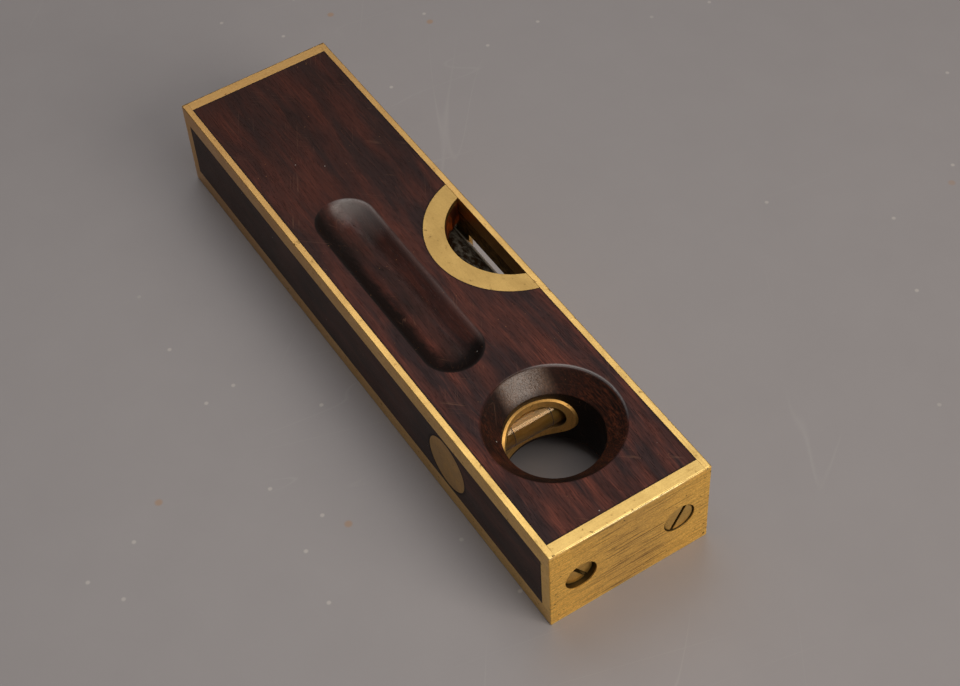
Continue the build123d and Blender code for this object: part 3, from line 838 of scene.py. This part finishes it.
def lathe(outline, place, axis, steps=64):
    """Turns an outline of (along, radius) points round an axis, X or Y, through a place."""
    mesh = bmesh.new()
    rings = []
    for along, radius in outline:
        ring = []
        for step in range(steps):
            angle = 2 * math.pi * step / steps
            side, up = radius * math.cos(angle), radius * math.sin(angle)
            offset = (along, side, up) if axis == "X" else (side, along, up)
            ring.append(mesh.verts.new(place + Vector(offset)))
        rings.append(ring)
    join_rings(mesh, rings)
    return mesh, rings


def vial_facts(vial):
    """Where a vial is: its middle, axis, bore radius and half length of its bore."""
    low, high = (Vector(corner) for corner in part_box(f"{vial}_vial_spirit"))
    size = high - low
    axis = "X" if size.x > size.y else "Y"
    return (low + high) / 2, axis, size.z / 2, max(size.x, size.y) / 2


def spirit(vial):
    """The liquid, which fills the bore and reaches a hair into the glass, so no air shows between."""
    middle, axis, radius, half = vial_facts(vial)
    radius += SPIRIT_OVERLAP
    end = radius - BARREL
    side = half - end
    outline = []
    for step in range(1, 13):
        angle = math.radians(90 * step / 12)
        outline.append((-side - end * math.cos(angle), end * math.sin(angle)))
    for step in range(1, 24):
        along = side * (step / 12 - 1)
        outline.append((along, end + BARREL * (1 - (along / side) ** 2)))
    outline += [(-along, around) for along, around in reversed(outline[:12])]
    mesh, rings = lathe(outline, middle, axis)
    close_ends(mesh, rings)
    piece = finish_mesh(mesh, f"{vial}_spirit_full", MATERIALS["spirit"])
    stand_for(piece, BODY, f"{vial}_vial_spirit")


def bubble(vial):
    """A bubble under the top of the bore, with a film of liquid above it and a level surface below."""
    node = f"{vial}_bubble"
    low, high = (Vector(corner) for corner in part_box(node))
    middle, axis, _, _ = vial_facts(vial)
    half = max(high.x - low.x, high.y - low.y) / 2
    radius = high.z - middle.z - BUBBLE_FILM
    deepest = high.z - low.z - BUBBLE_FILM
    mesh = bmesh.new()
    rings = []
    steps = 40
    for step in range(steps + 1):
        t = math.cos(math.pi * step / steps)
        depth = deepest * max(1e-4, 1 - t**4) ** 0.5
        spread = math.acos(1 - depth / radius)
        edge = radius * math.sin(spread)
        floor_up = radius - depth
        ring = []
        for k in range(16):
            angle = spread * (1 - k / 8)
            ring.append((radius * math.sin(angle), radius * math.cos(angle)))
        for k in range(12):
            across = edge * (k / 6 - 1)
            meniscus = 0.22 * depth * (across / edge) ** 6 if edge else 0.0
            ring.append((across, floor_up + 0.4 * meniscus))
        points = []
        for across, up in ring:
            offset = (t * half, across, up) if axis == "X" else (across, t * half, up)
            points.append(mesh.verts.new(middle + Vector(offset)))
        rings.append(points)
    join_rings(mesh, rings)
    close_ends(mesh, rings)
    piece = finish_mesh(mesh, f"{node}_shape", MATERIALS["bubble"])
    piece.data.set_sharp_from_angle(angle=math.radians(40))
    stand_for(piece, node, node)


def marker_lines(vial, places):
    """Thin painted rings round a vial's glass, at distances from its middle."""
    middle, axis, _, _ = vial_facts(vial)
    radius = size_of(f"{vial}_vial_glass").z / 2
    for number, along in enumerate(places, 1):
        inner, outer = radius + 0.005 * MM, radius + 0.03 * MM
        outline = [(along - 0.10 * MM, inner), (along - 0.07 * MM, outer)]
        outline += [(along + 0.07 * MM, outer), (along + 0.10 * MM, inner)]
        mesh, rings = lathe(outline, middle, axis, steps=96)
        join_rings(mesh, [rings[-1], rings[0]])
        bmesh.ops.recalc_face_normals(mesh, faces=mesh.faces)
        piece = finish_mesh(mesh, f"{vial}_marker_{number}", MATERIALS["marker"])
        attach(piece, BODY)


# ---- the scene -----------------------------------------------------------------------------

SLOT_OF = {part["node"]: part["material_slot"] for part in frame["record"]["subparts"]}

WINDOW_TONES = (0.62, 0.395, 0.13), (0.46, 0.28, 0.09)
MATERIALS = {
    "rosewood": rosewood(),
    "binding_brass": binding_brass(),
    "end_brass": end_brass(),
    "window_brass": brass("window_brass", *WINDOW_TONES, 0.38, (300, 1500, 1500)),
    "top_plate_brass": top_plate_brass(),
    "screw_brass": screw_brass(),
    "tube_brass": tube_brass(),
    "vial_glass": vial_glass(),
    "spirit": glass("spirit", (0.92, 0.58, 0.22), 1.36, cloudy=0.36),
    "bubble": glass("bubble", (0.99, 0.99, 0.99), 1 / 1.36),
    "plaster": plaster(),
    "marker": marker_paint(),
}

# every CAD node gets its material; the replaced ones are hidden
for node, cad_piece in frame["nodes"].items():
    cad_piece.data.materials.clear()
    cad_piece.data.materials.append(MATERIALS[SLOT_OF[node]])

STRIPS = ("sole_strip_lower", "sole_strip_upper", "top_strip_lower", "top_strip_upper")
for seed, node in enumerate(STRIPS, 1):
    worn_strip(node, seed)

ENDS = ("near", "far")
for end in ENDS:
    worn_copy(f"end_plate_{end}", 0.03 * MM)
    worn_copy(f"top_plate_screw_{end}", 0.05 * MM)
    for side in ("sole", "top"):
        worn_copy(f"end_screw_{end}_{side}", 0.06 * MM)
for face in ("lower", "upper"):
    worn_copy(f"window_plate_{face}", 0.09 * MM)
worn_copy("top_plate", 0.09 * MM)
worn_copy("plumb_tube", 0.12 * MM, wide_bevel=(1.0 * MM, on_tube_outside))
worn_copy("plumb_sole_cap", 0.09 * MM)

for vial, places in (("level", (-7 * MM, 7 * MM)), ("plumb", (-4.8 * MM, 5.2 * MM))):
    spirit(vial)
    bubble(vial)
    marker_lines(vial, places)

make_floor()
make_light()
make_camera()

bpy.context.view_layer.update()
